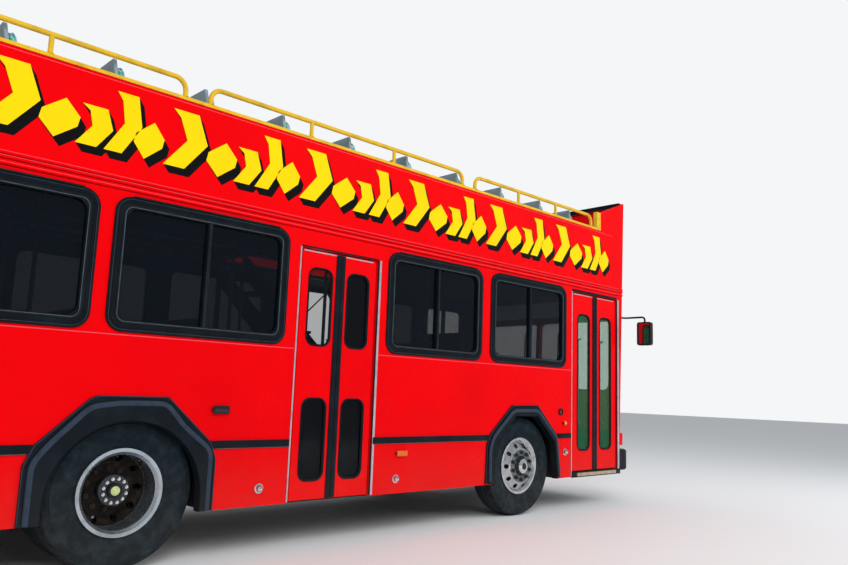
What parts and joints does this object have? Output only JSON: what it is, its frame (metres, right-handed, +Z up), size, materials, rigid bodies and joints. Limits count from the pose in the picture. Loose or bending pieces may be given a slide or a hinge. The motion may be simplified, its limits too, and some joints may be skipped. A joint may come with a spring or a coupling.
{
  "type": "open top double decker bus",
  "caption": "Open top double decker sightseeing bus with folding doors, guard rails, seats, steered front wheels and twin rear wheels.",
  "frame": {"origin": "on the ground, under the middle of the overall length and width", "axes": "+X forward, +Y to the driver's left, +Z up"},
  "size_m": [9.33, 3.255, 3.865],
  "materials": {
    "red_paint": "gloss two pack paint",
    "yellow_paint": "gloss paint",
    "black_rubber": "matt moulded rubber",
    "tinted_glass": "tinted safety glass",
    "clear_glass": "clear safety glass",
    "frame_steel": "chassis black",
    "axle_iron": "cast, dusty",
    "polished_alloy": "polished forged alloy",
    "worn_steel": "worn steel disc, polished flange",
    "tyre_rubber": "vulcanised rubber",
    "seat_shell": "moulded seat shell",
    "seat_cloth": "woven moquette",
    "floor_cover": "ribbed floor covering",
    "black_plastic": "grained moulded plastic",
    "lens_plastic": "moulded lens",
    "engine_iron": "engine enamel"
  },
  "bodies": {
    "bus_body": {"side_wall_right": "red_paint", "side_wall_left": "red_paint", "front_wall": "red_paint", "rear_wall": "red_paint", "lower_floor": "floor_cover", "upper_floor": "floor_cover", "stairs": "frame_steel", "upper_side_right": "red_paint", "upper_side_left": "red_paint", "upper_front_wall": "red_paint", "upper_rear_wall": "red_paint", "guard_rails": "yellow_paint", "window_frames": "black_rubber", "window_glass": "tinted_glass", "arch_trims": "black_rubber", "rub_rails": "black_rubber", "front_bumper": "black_rubber", "rear_bumper": "black_rubber", "chassis_frame": "frame_steel", "leaf_springs": "frame_steel", "front_axle": "axle_iron", "rear_axle": "axle_iron", "engine": "engine_iron", "lower_seat_frames": "seat_shell", "lower_seat_pads": "seat_cloth", "upper_seat_frames": "seat_shell", "upper_seat_pads": "seat_cloth", "driver_seat": "seat_cloth", "dashboard": "black_plastic", "steering_wheel": "black_plastic", "mirrors": "black_plastic", "lamps": "lens_plastic"},
    "rear_door_rearward": {"rear_door_leaf_rearward": "red_paint", "rear_door_glass_rearward": "clear_glass"},
    "rear_door_forward": {"rear_door_leaf_forward": "red_paint", "rear_door_glass_forward": "clear_glass"},
    "front_door_rearward": {"front_door_leaf_rearward": "red_paint", "front_door_glass_rearward": "clear_glass"},
    "front_door_forward": {"front_door_leaf_forward": "red_paint", "front_door_glass_forward": "clear_glass"},
    "engine_door": {"engine_door": "red_paint"},
    "left_knuckle": {"knuckle_left": "axle_iron"},
    "front_wheel_left": {"wheel_front_left": "polished_alloy", "tyre_front_left": "tyre_rubber"},
    "rear_wheel_left": {"wheel_rear_left": "worn_steel", "tyre_rear_left": "tyre_rubber"},
    "right_knuckle": {"knuckle_right": "axle_iron"},
    "front_wheel_right": {"wheel_front_right": "polished_alloy", "tyre_front_right": "tyre_rubber"},
    "rear_wheel_right": {"wheel_rear_right": "worn_steel", "tyre_rear_right": "tyre_rubber"}
  },
  "joints": [
    {"name": "front_steer_left", "type": "hinge", "parent": "bus_body", "child": "left_knuckle", "pos_m": [2.458, 0.995, 0.525], "axis": [0, 0, 1], "range_deg": [-40, 40]},
    {"name": "front_roll_left", "type": "hinge", "parent": "left_knuckle", "child": "front_wheel_left", "pos_m": [2.458, 1.105, 0.525], "axis": [0, 1, 0], "continuous": true},
    {"name": "rear_roll_left", "type": "hinge", "parent": "bus_body", "child": "rear_wheel_left", "pos_m": [-1.885, 0.94, 0.525], "axis": [0, 1, 0], "continuous": true},
    {"name": "front_steer_right", "type": "hinge", "parent": "bus_body", "child": "right_knuckle", "pos_m": [2.458, -0.995, 0.525], "axis": [0, 0, 1], "range_deg": [-40, 40]},
    {"name": "front_roll_right", "type": "hinge", "parent": "right_knuckle", "child": "front_wheel_right", "pos_m": [2.458, -1.105, 0.525], "axis": [0, 1, 0], "continuous": true},
    {"name": "rear_roll_right", "type": "hinge", "parent": "bus_body", "child": "rear_wheel_right", "pos_m": [-1.885, -0.94, 0.525], "axis": [0, 1, 0], "continuous": true},
    {"name": "rear_door_swing_rearward", "type": "hinge", "parent": "bus_body", "child": "rear_door_rearward", "pos_m": [-0.545, -1.2725, 1.4], "axis": [0, 0, -1], "range_deg": [0, 90]},
    {"name": "rear_door_swing_forward", "type": "hinge", "parent": "bus_body", "child": "rear_door_forward", "pos_m": [0.239, -1.2725, 1.4], "axis": [0, 0, 1], "range_deg": [0, 90]},
    {"name": "front_door_swing_rearward", "type": "hinge", "parent": "bus_body", "child": "front_door_rearward", "pos_m": [3.363, -1.2725, 1.5], "axis": [0, 0, -1], "range_deg": [0, 90]},
    {"name": "front_door_swing_forward", "type": "hinge", "parent": "bus_body", "child": "front_door_forward", "pos_m": [4.277, -1.2725, 1.5], "axis": [0, 0, 1], "range_deg": [0, 90]},
    {"name": "engine_door_lift", "type": "hinge", "parent": "bus_body", "child": "engine_door", "pos_m": [-4.585, 0, 1.23], "axis": [0, 1, 0], "range_deg": [0, 75]}
  ],
  "couplings": [
    {"joint": "front_steer_right", "follows": "front_steer_left", "ratio": 1}
  ]
}
